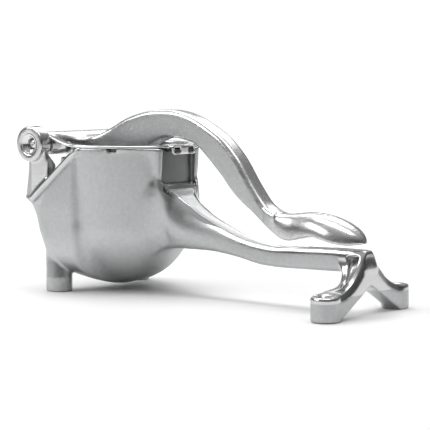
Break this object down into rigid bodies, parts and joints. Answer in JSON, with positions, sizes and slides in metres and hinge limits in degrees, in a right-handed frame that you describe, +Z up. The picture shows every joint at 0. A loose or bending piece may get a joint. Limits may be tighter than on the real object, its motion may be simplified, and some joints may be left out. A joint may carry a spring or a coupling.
{
  "type": "citrus press juicer",
  "caption": "Cast aluminium hand citrus press: open bowl with pouring lip, two-footed lower handle, arched lever on a cross axle with a pivoting press head over a perforated strainer.",
  "frame": {"origin": "on the floor under the middle of the bounding box", "axes": "+X from the hinge towards the front feet and the handle ends, +Y to the far side, +Z up"},
  "size_m": [0.2322, 0.096, 0.112],
  "materials": {
    "cast_body": "satin blasted casting with polished edges",
    "cast_lever": "satin sides, polished top and grip",
    "cast_head": "satin casting",
    "bright_steel": "bright turned and polished",
    "strainer_steel": "mirror polished stainless sheet"
  },
  "bodies": {
    "base": {"body_casting": "cast_body", "hinge_axle": "bright_steel", "hinge_cup_washer_near": "bright_steel", "hinge_cup_washer_far": "bright_steel", "strainer_cup": "strainer_steel", "hinge_thrust_washer_near": "bright_steel", "hinge_thrust_washer_far": "bright_steel"},
    "lever": {"press_lever": "cast_lever", "head_pin": "bright_steel", "head_pin_clip_near": "bright_steel", "head_pin_clip_far": "bright_steel"},
    "head": {"press_head": "cast_head"}
  },
  "joints": [
    {"name": "lever_swing", "type": "hinge", "parent": "base", "child": "lever", "pos_m": [-0.10552, 0, 0.0909], "axis": [0, -1, 0], "range_deg": [0, 100]},
    {"name": "head_tilt", "type": "hinge", "parent": "lever", "child": "head", "pos_m": [-0.06713, 0, 0.08], "axis": [0, -1, 0], "range_deg": [-6, 6]}
  ]
}
